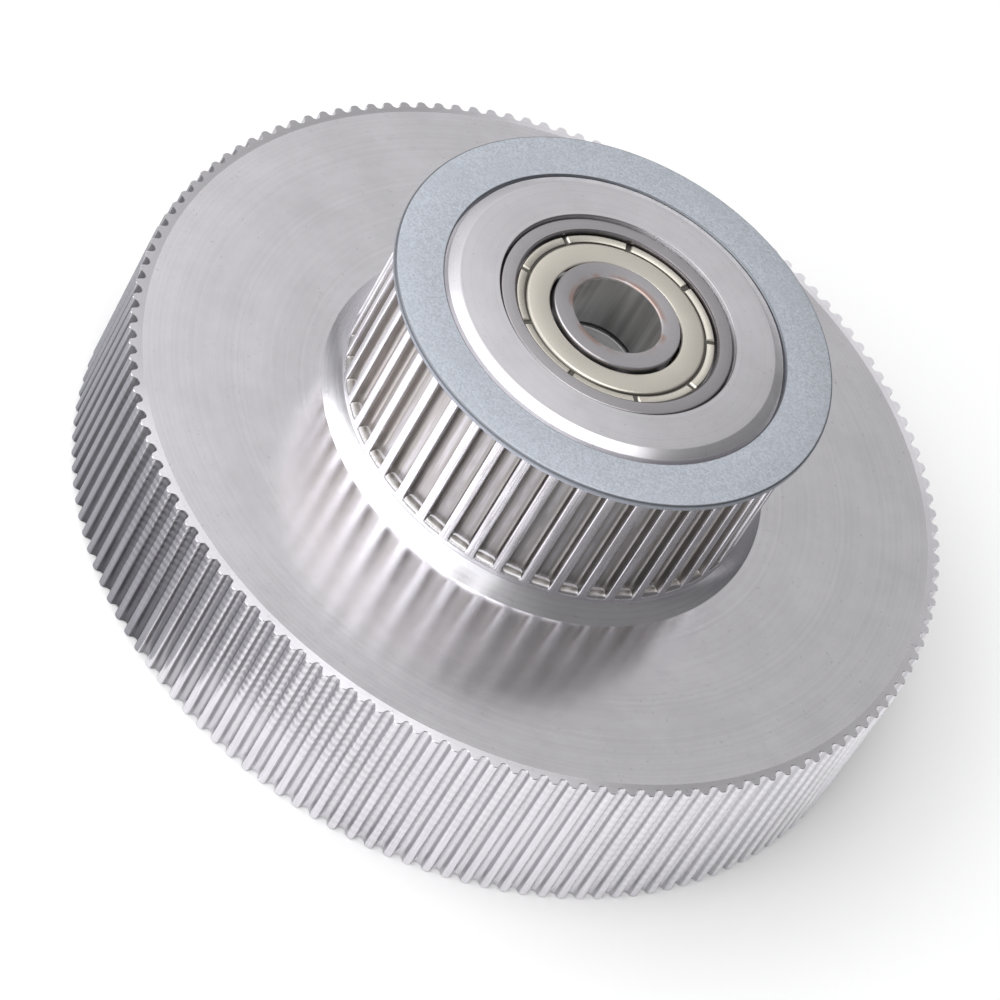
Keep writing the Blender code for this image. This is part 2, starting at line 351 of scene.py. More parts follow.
def turned_metal(
    name, base, roughness, mark_width, depth, anisotropic=0.0, mottle=0.06, metallic=1.0, tint=None,
):
    """Metal with concentric tool marks and faint cloudy handling marks.

    tint takes the graph, the place signals and the colour so far, and gives a new colour.
    """
    graph = Finish(name, base, roughness, metallic, anisotropic)
    if anisotropic:
        graph.set("Anisotropic Rotation", 0.25)
    x, y, z = graph.place()
    point = graph.vector(x, y, z)
    radius = (x * x + y * y) ** 0.5
    rings = graph.noise(graph.vector(radius * (1 / mark_width), z * (1 / mark_width), 0.0), detail=3.0)
    broad = graph.noise(graph.vector(radius * 1900.0, z * 1900.0, 3.0), detail=2.0)
    cloud = graph.noise(point, scale=160.0, detail=5.0, rough=0.7)
    specks = graph.noise(point, scale=2600.0, detail=1.0).band(0.70, 0.78)
    tone = rings * 0.35 + broad * 0.25 + cloud * 0.4
    tones = graph.mix(tone.band(0.35, 0.65), shade(base, 1 - mottle), shade(base, 1 + mottle))
    tones = graph.mix(specks * 0.25, tones, shade(base, 0.45))
    graph.set("Base Color", tint(graph, x, y, z, tones) if tint else tones)
    graph.set("Roughness", rings * 0.10 + cloud * 0.12 + (roughness - 0.11))
    graph.bump(rings + specks * -0.6, depth)
    return graph.material


def facing(x, y, turn):
    """How nearly a point lies in one direction from the axle, from -1 to 1."""
    return (x * cos(turn) + y * sin(turn)) * (x * x + y * y) ** -0.5


def groove_tones(graph, x, y, z, base, groove_shade_and_streak_tone, cut):
    """Bright crests, painted shade in the grooves that is deeper on one side, and a painted highlight along
    each groove's middle.
    """
    stains = graph.noise(graph.vector(x * 300.0, y * 300.0, z * 120.0), detail=4.0, rough=0.6)
    deep = (cut.tip - (x * x + y * y) ** 0.5) * (1 / cut.depth)
    # Painted shade: the grooves on one side of the wheel are made darker, standing in for how the light
    # falls.
    shaded_side = facing(x, y, cut.oil_turn).band(0.55, 0.90)
    # Where painted shade falls in a groove: the flanks, and the floor as well on the darker side or where
    # open_floor is 0.
    floor = deep.band(0.12, 0.40) * (1 - deep.band(0.62, 0.92) * (1 - shaded_side) * cut.open_floor)
    groove = graph.mix(shaded_side, shade(groove_shade_and_streak_tone, 1.0), shade(groove_shade_and_streak_tone, 0.5 - cut.open_floor * 0.3))
    # Groove colour with its painted shade, made uneven by the stains noise.
    stained_groove_shade = graph.mix(floor * (stains * 0.5 + 0.6), shade(base, 1.04), groove)
    # Painted highlight along the middle of each groove's floor.
    middle = (graph.math("ARCTAN2", y, x) * cut.teeth).cosine()
    painted_sheen = middle.band(0.55, 1.0) * stains.band(0.35, 0.6) * (1 - cut.open_floor)
    return floor, graph.mix(painted_sheen * floor * 0.8, stained_groove_shade, shade(base, 0.75))


def cut_aluminium(name, base, groove_shade_and_streak_tone, cut):
    """Cut teeth, with streaks along them, marks left by the cutter's feed, and painted shade low in the
    grooves where they run out.
    """
    graph = Finish(name, base, 0.28)
    x, y, z = graph.place()
    radius = (x * x + y * y) ** 0.5
    floor, stained_groove_shade = groove_tones(graph, x, y, z, base, groove_shade_and_streak_tone, cut)
    streaks = graph.noise(graph.vector(x * 7000.0, y * 7000.0, z * 260.0), detail=3.0)
    patch = graph.noise(graph.vector(x, y, z), scale=45.0, detail=2.0).band(0.45, 0.62)
    lean = facing(x, y, FEED_TURN).band(0.8624, 0.9727) * z.band(5 * MM, 10 * MM)
    feed = z.wave(FEED_STEP) * (patch * 0.35 + lean) * cut.feed_mark
    marks = streaks.band(0.3, 0.7) * (0.5 - cut.open_floor * 0.32) + feed * 0.5
    marked = graph.mix(marks, stained_groove_shade, shade(groove_shade_and_streak_tone, 0.75))
    # Painted shade low in the grooves, where they run out towards the shoulder.
    foot = (1 - z.band(cut.run_out, cut.run_out + 0.9 * MM)) * 0.7
    foot = foot * between(radius, cut.tip - cut.depth * 2, cut.tip - cut.depth, cut.tip - 0.2 * MM, cut.tip)
    graph.set("Base Color", graph.mix(foot, marked, shade(groove_shade_and_streak_tone, 0.3)))
    graph.set("Roughness", streaks * 0.10 + floor * 0.08 + 0.20)
    graph.bump(streaks * 0.10 + feed, 0.03 * MM)
    return graph.material


def grained_metal(name, base, roughness, grain_size, depth, cloud_tint=1.0, dark=None):
    """Plated or tumbled sheet with a fine even grain and soft clouds.

    dark takes the place signals, and gives how much painted shade each point gets.
    """
    graph = Finish(name, base, roughness)
    x, y, z = graph.place()
    point = graph.vector(x, y, z)
    grain = graph.noise(point, scale=1 / grain_size, detail=3.0, rough=0.65)
    cloud = graph.noise(point, scale=140.0, detail=3.0)
    light = graph.mix(grain.band(0.3, 0.7), shade(base, 0.86), shade(base, 1.14))
    tone = graph.mix(cloud.band(0.45, 0.7) * 0.5, light, shade(base, cloud_tint))
    if dark:
        # Painted shade, mixed in where dark asks for it.
        tone = graph.mix(dark(x, y, z), tone, shade(base, 0.22))
    graph.set("Base Color", tone)
    graph.set("Roughness", grain * 0.16 + cloud * 0.10 + (roughness - 0.13))
    graph.bump(grain, depth)
    return graph.material


# Mesh helpers.


def finish_piece(name, bm, materials, body, nodes, sharp=radians(28)):
    """Makes the object, shades it, ties it to its body and hides its CAD nodes."""
    bmesh.ops.remove_doubles(bm, verts=bm.verts, dist=0.2e-6)
    bmesh.ops.recalc_face_normals(bm, faces=bm.faces)
    mesh = bpy.data.meshes.new(name)
    bm.to_mesh(mesh)
    bm.free()
    for material in materials:
        mesh.materials.append(material)
    mesh.shade_smooth()
    mesh.set_sharp_from_angle(angle=sharp)
    piece = bpy.data.objects.new(name, mesh)
    bpy.context.scene.collection.objects.link(piece)
    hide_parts(*nodes)
    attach(piece, body)
    return piece


def chain(bm, points, closed=False):
    """Joins a few (radius, height) points into an outline on the XZ plane."""
    verts = [bm.verts.new((radius, 0.0, height)) for radius, height in points]
    following = verts[1:] + verts[:1] if closed else verts[1:]
    return verts + [bm.edges.new(pair) for pair in zip(verts, following)]


def spin_outline(points, steps, closed=True):
    """A bmesh turned from an outline, all the way round Z."""
    bm = bmesh.new()
    geom = chain(bm, points, closed)
    bmesh.ops.spin(
        bm, geom=geom, cent=CENTRE, axis=UP, angle=tau, steps=steps, use_merge=True,
    )
    return bm


def arc(centre, radius, start, end, count):
    """Points of an arc from one angle to another, ends included."""
    turns = [start + (end - start) * index / count for index in range(count + 1)]
    return [(centre[0] + radius * cos(turn), centre[1] + radius * sin(turn)) for turn in turns]


def rounded(points, radius, count=3):
    """A closed outline with each corner turned into a small arc."""
    result = []
    for index, here in enumerate(points):
        here = Vector(here)
        before = Vector(points[index - 1]) - here
        after = Vector(points[(index + 1) % len(points)]) - here
        reach = min(radius, before.length * 0.45, after.length * 0.45)
        start = here + before.normalized() * reach
        end = here + after.normalized() * reach
        for step in range(count + 1):
            blend = step / count
            result.append(tuple(start.lerp(here, blend).lerp(here.lerp(end, blend), blend)))
    return result


# The turned body.


def round_groove(tip, depth, groove_radius, crest_radius):
    """Half of a round belt groove, as (offset along the rim, depth) points."""
    rise = groove_radius - depth
    lean = acos((crest_radius + rise) / (crest_radius + groove_radius))
    points = []
    for index in range(6):
        turn = lean * index / 5
        points.append((groove_radius * sin(turn), depth - groove_radius * (1 - cos(turn))))
    edge = (groove_radius + crest_radius) * sin(lean)
    for index in range(1, 4):
        turn = lean * (1 - index / 3)
        points.append((edge - crest_radius * sin(turn), crest_radius * (1 - cos(turn))))
    return points


def flat_groove(width, depth, corner_radius, crest_radius):
    """Half of a flat-floored belt groove, as (offset along the rim, depth) points."""
    half = width / 2
    points = [(0.0, depth)]
    for index in range(5):
        turn = pi / 2 * index / 4
        points.append((
            half - corner_radius * (1 - sin(turn)),
            depth - corner_radius * (1 - cos(turn)),
        ))
    for index in range(4):
        turn = pi / 2 * (1 - index / 3)
        points.append((
            half + crest_radius * (1 - sin(turn)),
            crest_radius * (1 - cos(turn)),
        ))
    return points


def toothed_loop(bm, tip, teeth, half_groove, height):
    """A closed toothed outline: one tooth space, repeated all round."""
    pitch = tau / teeth
    sides = [(-offset, depth) for offset, depth in reversed(half_groove[1:])] + half_groove
    verts = []
    for offset, depth in [(-tip * pitch / 2, 0.0)] + sides + [(tip * pitch / 2, 0.0)]:
        turn = offset / tip
        radius = tip - depth
        verts.append(bm.verts.new((radius * cos(turn), radius * sin(turn), height)))
    edges = [bm.edges.new(pair) for pair in zip(verts, verts[1:])]
    before = set(bm.verts) - set(verts)
    bmesh.ops.spin(
        bm, geom=verts + edges, cent=CENTRE, axis=UP, angle=tau, steps=teeth, use_duplicate=True,
    )
    ring = [vert for vert in bm.verts if vert not in before]
    bmesh.ops.remove_doubles(bm, verts=ring, dist=2e-6)
    return [
        edge for edge in bm.edges
        if not edge.link_faces and all(abs(vert.co.z - height) < 1e-6 for vert in edge.verts)
    ]


def raise_loop(bm, edges, height, offset=0.0):
    """Extrudes a loop to a new height, moved outwards by offset."""
    grown = bmesh.ops.extrude_edge_only(bm, edges=edges)["geom"]
    verts = [item for item in grown if isinstance(item, bmesh.types.BMVert)]
    for vert in verts:
        flat = vert.co.xy
        vert.co.xy = flat + flat.normalized() * offset
        vert.co.z = height
    return [item for item in grown if isinstance(item, bmesh.types.BMEdge)]


def round_off(edges, radius):
    """Moves a loop onto a circle."""
    for vert in {vert for edge in edges for vert in edge.verts}:
        vert.co.xy = vert.co.xy.normalized() * radius


def close_level(bm, height):
    """Closes the flat face between the two open loops that lie at one height."""
    edges = [
        edge for edge in bm.edges
        if edge.is_boundary and all(abs(vert.co.z - height) < 1e-7 for vert in edge.verts)
    ]
    bmesh.ops.bridge_loops(bm, edges=edges)


def large_rim(bm, sizes, tip):
    """The toothed wall of the large wheel, with its edges broken."""
    step = sizes.edge_break
    groove = round_groove(
        tip, sizes.large_groove, sizes.large_groove_radius, sizes.large_crest_radius,
    )
    loop = toothed_loop(bm, tip, sizes.large_teeth, groove, step)
    upper = raise_loop(bm, loop, sizes.large_width - step)
    margin = tip - sizes.large_groove - 0.6 * MM
    for edges, height in ((upper, sizes.large_width), (loop, 0.0)):
        face = raise_loop(bm, edges, height, -step)
        round_off(raise_loop(bm, face, height), margin)


def small_rim(bm, sizes):
    """The small wheel's toothed wall, from the flange seat down to the shoulder's foot."""
    base = sizes.large_width
    tip = sizes.small_radius
    groove = flat_groove(
        sizes.small_groove_width, sizes.small_groove,
        sizes.small_corner_radius, sizes.small_crest_radius,
    )
    full = base + sizes.run_out + sizes.run_out_rise
    loop = toothed_loop(bm, tip, sizes.small_teeth, groove, full)
    top = raise_loop(bm, loop, base + sizes.seat - sizes.edge_break)
    raise_loop(bm, top, base + sizes.seat, -sizes.edge_break)
    steps = 6
    for index in range(1, steps + 1):
        turn = pi / 2 * index / steps
        kept = 1 - sin(turn) if index < steps else 0.0
        before = 1 - sin(pi / 2 * (index - 1) / steps)
        loop = raise_loop(bm, loop, full - sizes.run_out_rise * (1 - cos(turn)))
        ease_depth(loop, tip, kept / before)
    loop = raise_loop(bm, loop, base + sizes.shoulder_height + sizes.edge_break)
    loop = raise_loop(bm, loop, base + sizes.shoulder_height, sizes.edge_break / 2)
    foot = sizes.shoulder_radius - tip - sizes.edge_break / 2
    raise_loop(bm, loop, base, foot)


def ease_depth(edges, tip, keep):
    """Pulls a loop's grooves out towards the tip circle."""
    for vert in {vert for edge in edges for vert in edge.verts}:
        radius = vert.co.xy.length
        vert.co.xy *= (tip - (tip - radius) * keep) / radius


def hub_and_bore(bm, sizes, bearing, top):
    """The hub, both bearing pockets and the bore between them, as one turned skin."""
    pocket = bearing_outer_radius() + bearing.pocket_gap
    mouth = 0.10 * MM
    seat = sizes.large_width + sizes.seat
    front_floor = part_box("front_bearing_outer_ring")[0].z - 0.3 * MM
    rear_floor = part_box("rear_bearing_outer_ring")[1].z + 0.3 * MM
    lip = FLANGE_HIGH.z
    points = [
        (sizes.hub_radius, seat),
        (sizes.hub_radius, lip - 0.04 * MM),
        (sizes.hub_radius - 0.02 * MM, lip + 0.05 * MM),
        (sizes.hub_radius - 0.08 * MM, lip + 0.10 * MM),
        (sizes.hub_face_radius + 0.10 * MM, top - 0.05 * MM),
        (sizes.hub_face_radius + 0.03 * MM, top - 0.01 * MM),
        (sizes.hub_face_radius - 0.06 * MM, top),
        (pocket + mouth, top),
        (pocket, top - mouth),
        (pocket, front_floor),
        (sizes.shoulder_bore, front_floor),
        (sizes.shoulder_bore, rear_floor),
        (pocket, rear_floor),
        (pocket, mouth),
        (pocket + mouth, 0.0),
    ]
    geom = chain(bm, points)
    bmesh.ops.spin(
        bm, geom=geom, cent=CENTRE, axis=UP, angle=tau, steps=sizes.small_teeth * 5, use_merge=True,
    )


def bearing_outer_radius():
    """Outside radius of both bearings."""
    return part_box("front_bearing_outer_ring")[1].x


def sort_body_faces(bm, sizes, tip):
    """Gives each zone of the body its finish."""
    base = sizes.large_width
    for face in bm.faces:
        middle = face.calc_center_median()
        radius = middle.xy.length
        flat = abs(face.normal.z) > FLAT
        if radius > tip - sizes.large_groove - 0.3 * MM and not flat:
            face.material_index = 1
        elif middle.z > base + sizes.run_out - 0.01 * MM and radius > sizes.hub_radius + MM and not flat:
            face.material_index = 2
        elif base < middle.z < base + sizes.run_out and radius > sizes.hub_radius:
            face.material_index = 3
        elif radius < sizes.hub_radius and middle.z > base + sizes.seat:
            face.material_index = 4


def body_metals(sizes, colours):
    """The finishes of the body's zones, in the order that sort_body_faces numbers them."""
    aluminium = colours.aluminium
    # Each wheel's turn angle below names the side whose grooves get deeper painted shade; the large wheel's
    # darker groove tone is aluminium darkened as painted shade.
    large = Cut(
        tip=WHEEL_HIGH.x, depth=sizes.large_groove, teeth=sizes.large_teeth,
        oil_turn=radians(205), open_floor=0.8, run_out=-MM, feed_mark=1.0,
    )
    small = Cut(
        tip=sizes.small_radius, depth=sizes.small_groove, teeth=sizes.small_teeth,
        oil_turn=radians(285), open_floor=0.0, run_out=sizes.large_width + sizes.run_out,
        feed_mark=0.05,
    )
    return [
        turned_metal("turned_face", aluminium, 0.43, 0.14 * MM, 0.0018 * MM, 1.0, 0.09, metallic=0.9),
        cut_aluminium("large_teeth", aluminium, shade(aluminium, 0.70), large),
        cut_aluminium("small_teeth", shade(aluminium, 1.1), colours.groove, small),
        turned_metal("shoulder_cut", aluminium, 0.20, 0.10 * MM, 0.002 * MM),
        turned_metal("hub_face", aluminium, 0.30, 0.12 * MM, 0.0010 * MM, 0.5, tint=pocket_shadow),
    ]


def build_body(scene):
    """The turned body with both toothed wheels."""
    sizes = scene.wheel_sizes
    tip, top = WHEEL_HIGH.x, WHEEL_HIGH.z
    bm = bmesh.new()
    large_rim(bm, sizes, tip)
    small_rim(bm, sizes)
    hub_and_bore(bm, sizes, scene.bearing_sizes, top)
    for height in (0.0, sizes.large_width, sizes.large_width + sizes.seat):
        close_level(bm, height)
    bmesh.ops.recalc_face_normals(bm, faces=bm.faces)
    sort_body_faces(bm, sizes, tip)
    metals = body_metals(sizes, scene.wheel_finishes)
    finish_piece("wheel_body", bm, metals, "belt_wheel", ["pulley_body"])


# The flange, the bearings and the sleeve.


def rim_and_hole_shade(x, y, z, hole, rim, edge):
    """Painted shade on the flange's rounded rim and inside its hole."""
    high = FLANGE_HIGH.z
    squared = x * x + y * y
    # Painted shade on the outer part of the rounded rim, stronger towards its top.
    outer = squared.band((rim + edge * 0.1) ** 2, (rim + edge * 0.5) ** 2)
    outer = outer * (z.band(high - edge * 1.3, high - edge * 0.9) * 0.35 + 0.5)
    # Painted shadow in the hole's chamfer and wall, under the hub's lip.
    inner = 1 - squared.band((hole + 0.10 * MM) ** 2, (hole + 0.22 * MM) ** 2)
    return outer + inner * 0.9


def build_flange(scene):
    """The plated disc at the free end of the small wheel.

    Glossy rays pass through it, so the large wheel's face stays light in front of it.
    """
    zinc = scene.wheel_finishes.zinc
    edge = 0.28 * MM
    rim = FLANGE_HIGH.x - edge
    hole = scene.wheel_sizes.hub_radius + 0.3 * MM
    low, high = FLANGE_LOW.z, FLANGE_HIGH.z
    points = [(hole, high - 0.12 * MM), (hole + 0.12 * MM, high), (hole + 0.9 * MM, high)]
    points += arc((rim, high - edge), edge, pi / 2, 0.0, 6)
    points += arc((rim, low + edge), edge, 0.0, -pi / 2, 4)
    points += [(hole, low)]
    material = grained_metal(
        "zinc_plate", zinc, 0.42, 0.22 * MM, 0.008 * MM, 0.93,
        lambda x, y, z: rim_and_hole_shade(x, y, z, hole, rim, edge),
    )
    flange = finish_piece(
        "small_wheel_flange", spin_outline(points, 240), [material], "belt_wheel",
        ["flange"],
    )
    flange.visible_glossy = False


def race_points(land, bottom, radius, side, count=10):
    """Raceway groove from its upper to its lower edge."""
    centre = bottom - side * radius
    reach = asin(sqrt(radius ** 2 - (land - centre) ** 2) / radius)
    turns = [reach * (1 - 2 * index / count) for index in range(count + 1)]
    return [(centre + side * radius * cos(turn), radius * sin(turn)) for turn in turns]


def corner(radius_out, height, size, side):
    """Rounded corner of a ring, from its face towards its wall."""
    centre = (radius_out - side * size, height - size)
    start, end = (pi / 2, 0.0) if side > 0 else (pi, pi / 2)
    return arc(centre, size, start, end, 4)


def mirrored_down(points):
    """The same outline points below the ring's middle, in reverse order."""
    return [(radius, -height) for radius, height in reversed(points)]


def outer_ring_outline(bearing, outside, half):
    """Section of an outer ring, with its raceway and the seats of both covers."""
    wall = corner(outside, half, bearing.chamfer, 1)
    seat = half - bearing.seat_depth
    bottom = bearing.ball_circle + bearing.ball_radius + bearing.race_gap
    race = race_points(bearing.outer_land, bottom, bearing.race_radius, 1)
    lip = bearing.seat_radius
    face = [
        (lip, half - 0.16 * MM), (lip + 0.04 * MM, half - 0.12 * MM),
        (lip + 0.16 * MM, half - 0.12 * MM), (lip + 0.22 * MM, half),
    ]
    lower = [(bearing.seat_radius, -seat), (bearing.outer_land, -seat)]
    upper = [(bearing.outer_land, seat), (bearing.seat_radius, seat)]
    return face + wall + mirrored_down(wall) + mirrored_down(face) + lower + race[::-1] + upper


def inner_ring_outline(bearing, bore, land, half):
    """Section of an inner ring, with its raceway."""
    mouth = corner(bore, half, bearing.chamfer, -1)
    bottom = bearing.ball_circle - bearing.ball_radius - bearing.race_gap
    race = race_points(land, bottom, bearing.race_radius, -1)
    face = [(land - 0.1 * MM, half), (land, half - 0.1 * MM)]
    return mouth + face + race + mirrored_down(face) + mirrored_down(mouth)


def lifted(points, height):
    """Outline points moved up to a bearing's middle."""
    return [(radius, z + height) for radius, z in points]


def ring_middle(end):
    """Height of a bearing's middle, and half of its width."""
    low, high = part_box(f"{end}_bearing_outer_ring")
    return (low.z + high.z) / 2, (high.z - low.z) / 2


def bore_stain_and_shade(graph, x, y, z, tones):
    """A coppery bore edge, streaks that run down the ground bore, and painted shade on the ring's inner
    end.
    """
    radius = (x * x + y * y) ** 0.5
    patch = graph.noise(graph.vector(x, y, z), scale=420.0, detail=3.0).band(0.35, 0.6)
    edge = 1 - radius.band(AXLE_RADIUS + 0.30 * MM, AXLE_RADIUS + 0.85 * MM)
    copper = graph.mix(edge * patch * 0.85, tones, (0.42, 0.29, 0.25))
    streaks = graph.noise(graph.vector(x * 650.0, y * 650.0, z * 30.0), detail=3.0).band(0.35, 0.65)
    wall = graph.mix(streaks, (0.62, 0.61, 0.60), (1.0, 0.99, 0.97))
    bore = graph.mix(1 - radius.band(AXLE_RADIUS, AXLE_RADIUS + 0.06 * MM), copper, wall)
    # Painted shade, nearly black, on the inner rings' ends that face into the wheel between the bearings.
    inner_end = between(z, 6.7 * MM, 6.9 * MM, 29.35 * MM, 29.5 * MM)
    return graph.mix(inner_end * 0.9, bore, (0.05, 0.05, 0.05))


def pocket_shadow(graph, x, y, z, tones):
    """Painted shadow in the narrow gap round the bearing, and in the step that holds the cover."""
    gap = in_ring(x, y, bearing_outer_radius(), (-0.16, -0.06, 0.17, 0.30))
    step = in_ring(x, y, COVER_STEP_RADIUS, (-0.04, 0.02, 0.10, 0.20))
    return graph.mix((gap + step) * 0.8, tones, (0.08, 0.07, 0.075))


def build_rings(scene):
    """Both rings of both bearings."""
    bearing = scene.bearing_sizes
    colours = scene.wheel_finishes
    outer_steel = turned_metal(
        "outer_ring_steel", colours.ring, 0.30, 0.09 * MM, 0.0010 * MM, 0.4, tint=pocket_shadow,
    )
    inner_steel = turned_metal(
        "inner_ring_steel", colours.ring, 0.33, 0.09 * MM, 0.0010 * MM, 0.4, tint=bore_stain_and_shade,
    )
    for end in ENDS:
        middle, half = ring_middle(end)
        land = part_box(f"{end}_bearing_inner_ring")[1].x
        outline = outer_ring_outline(bearing, bearing_outer_radius(), half)
        finish_piece(
            f"{end}_outer_race", spin_outline(lifted(outline, middle), 180), [outer_steel],
            "belt_wheel", [f"{end}_bearing_outer_ring"],
        )
        outline = inner_ring_outline(bearing, AXLE_RADIUS, land, half)
        finish_piece(
            f"{end}_inner_race", spin_outline(lifted(outline, middle), 180), [inner_steel],
            "axle_seat", [f"{end}_bearing_inner_ring"],
        )


def cover_outline(bearing, half, hole):
    """Pressed cover: flat plate, a valley, and a rim crimped in the outer ring."""
    face = half - bearing.cover_recess
    sheet = bearing.cover_sheet
    rim = bearing.seat_radius - 0.15 * MM
    front = [
        (hole, face - 0.12 * MM), (hole + 0.10 * MM, face - 0.02 * MM), (hole + 0.25 * MM, face),
        (8.92 * MM, face), (9.08 * MM, face - 0.03 * MM), (9.20 * MM, face - 0.12 * MM),
        (9.27 * MM, face - 0.24 * MM), (9.37 * MM, face - 0.24 * MM), (9.42 * MM, face - 0.14 * MM),
        (9.50 * MM, face - 0.10 * MM), (rim - 0.20 * MM, face), (rim - 0.08 * MM, face - 0.03 * MM),
        (rim, face - 0.14 * MM),
    ]
    return front + [(rim, face - sheet), (hole, face - sheet)]


def press_notches(bm, bearing, start, half_width):
    """Pushes the rim down at each notch, all round the cover."""
    step = tau / bearing.cover_notches
    for vert in bm.verts:
        turn = (atan2(vert.co.y, vert.co.x) - bearing.notch_turn) % step
        if min(turn, step - turn) < half_width and vert.co.xy.length > 9.4 * MM:
            vert.co.z = min(vert.co.z, start)


def notch_and_fold_shade(x, y, z, middle, face):
    """Painted shade in the notches, and in the fold between the cover's plate and its rim."""
    # Painted shade on the parts pressed below the plate, the notches and the valley, and along the fold.
    low = 1 - (z - middle).size().band(face - 0.21 * MM, face - 0.13 * MM)
    return low + in_ring(x, y, COVER_FOLD_RADIUS, (-0.18, 0.0, 0.18, 0.32)) * 0.8


def cover_steel(end, base, middle, face):
    """The steel of one bearing's covers."""
    return grained_metal(
        f"{end}_cover_steel", base, 0.32, 0.10 * MM, 0.003 * MM, 1.06,
        lambda x, y, z: notch_and_fold_shade(x, y, z, middle, face),
    )


def build_covers(scene):
    """The pressed covers on both sides of both bearings."""
    bearing = scene.bearing_sizes
    for end in ENDS:
        middle, half = ring_middle(end)
        face = half - bearing.cover_recess
        steel = cover_steel(end, scene.wheel_finishes.cover, middle, face)
        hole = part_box(f"{end}_bearing_inner_ring")[1].x + 0.3 * MM
        for side, name in ((1, "upper"), (-1, "lower")):
            bm = spin_outline(cover_outline(bearing, half, hole), 360)
            press_notches(bm, bearing, face - 0.24 * MM, radians(1.3))
            flip = Matrix.Diagonal((1.0, 1.0, side, 1.0))
            bmesh.ops.transform(bm, matrix=Matrix.Translation((0, 0, middle)) @ flip, verts=bm.verts)
            finish_piece(
                f"{end}_{name}_cover", bm, [steel], "belt_wheel",
                [f"{end}_bearing_{name}_shield"],
            )


def cage_loop(bm, bearing, side):
    """The ribbon's inner edge: a bow over each ball and a flat web between."""
    web = 0.15 * MM + bearing.cage_sheet / 2
    half_turn = bearing.cage_pocket / bearing.ball_circle
    steps = 16
    ring = []
    for ball in range(bearing.balls):
        for index in range(steps + 1):
            turn = pi * (1 - index / steps)
            height = max(web, bearing.cage_pocket * sin(turn))
            around = tau * ball / bearing.balls + half_turn * cos(turn)
            place = (bearing.cage_inner * cos(around), bearing.cage_inner * sin(around), side * height)
            ring.append(bm.verts.new(place))
    return [bm.edges.new(pair) for pair in zip(ring, ring[1:] + ring[:1])]


def build_cages(scene):
    """Both halves of both bearings' cages."""
    bearing = scene.bearing_sizes
    steel = grained_metal("cage_steel_sheet", scene.wheel_finishes.cage, 0.32, 0.2 * MM, 0.002 * MM)
    stretch = bearing.cage_outer / bearing.cage_inner
    for end in ENDS:
        middle, _ = ring_middle(end)
        for side, name in ((1, "upper"), (-1, "lower")):
            bm = bmesh.new()
            edges = cage_loop(bm, bearing, side)
            grown = bmesh.ops.extrude_edge_only(bm, edges=edges)["geom"]
            outer = [item for item in grown if isinstance(item, bmesh.types.BMVert)]
            bmesh.ops.scale(bm, vec=(stretch, stretch, 1.0), verts=outer)
            bmesh.ops.translate(bm, vec=(0, 0, middle), verts=bm.verts)
            piece = finish_piece(
                f"{end}_{name}_ribbon", bm, [steel], f"{end}_cage",
                [f"{end}_bearing_{name}_cage_half"],
            )
            wall = piece.modifiers.new("sheet", "SOLIDIFY")
            wall.thickness = bearing.cage_sheet
            wall.offset = 0.0


def build_balls(scene):
    """The balls of both bearings."""
    bearing = scene.bearing_sizes
    steel = grained_metal("ball_polish", scene.wheel_finishes.ball, 0.16, 0.3 * MM, 0.0002 * MM)
    for end in ENDS:
        for index in range(1, bearing.balls + 1):
            low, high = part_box(f"{end}_bearing_ball_{index}")
            bm = bmesh.new()
            place = Matrix.Translation((low + high) / 2)
            bmesh.ops.create_icosphere(bm, subdivisions=4, radius=bearing.ball_radius, matrix=place)
            finish_piece(
                f"{end}_rolling_ball_{index}", bm, [steel], f"{end}_ball_{index}",
                [f"{end}_bearing_ball_{index}"],
            )


def build_sleeve(scene):
    """The tube between the two inner rings."""
    low, high, outside = SLEEVE_LOW.z, SLEEVE_HIGH.z, SLEEVE_HIGH.x
    bore = SLEEVE_BORE_RADIUS
    outline = rounded([(bore, high), (outside, high), (outside, low), (bore, low)], 0.06 * MM)
    metal = turned_metal(
        "sleeve_turning", scene.wheel_finishes.sleeve, 0.50, 0.12 * MM, 0.002 * MM, metallic=0.6,
    )
    finish_piece(
        "inner_sleeve", spin_outline(outline, 120), [metal], "axle_seat",
        ["spacer_sleeve"],
    )


# The stage.


def matte(name, base, roughness=0.9):
    """Plain paint."""
    return Finish(name, base, roughness, metallic=0.0).material


def flat_sheet(name, width, depth, material):
    """A flat rectangular sheet."""
    bm = bmesh.new()
    bmesh.ops.create_grid(bm, x_segments=1, y_segments=1, size=0.5)
    bmesh.ops.scale(bm, vec=(width, depth, 1.0), verts=bm.verts)
    mesh = bpy.data.meshes.new(name)
    bm.to_mesh(mesh)
    bm.free()
    mesh.materials.append(material)
    sheet = bpy.data.objects.new(name, mesh)
    bpy.context.scene.collection.objects.link(sheet)
    return sheet


def build_floor(settings):
    """The pale floor, just under the wheel."""
    paint = matte("floor_paint", settings.floor)
    floor = flat_sheet("studio_floor", settings.floor_size, settings.floor_size, paint)
    floor.location.z = -0.05 * MM


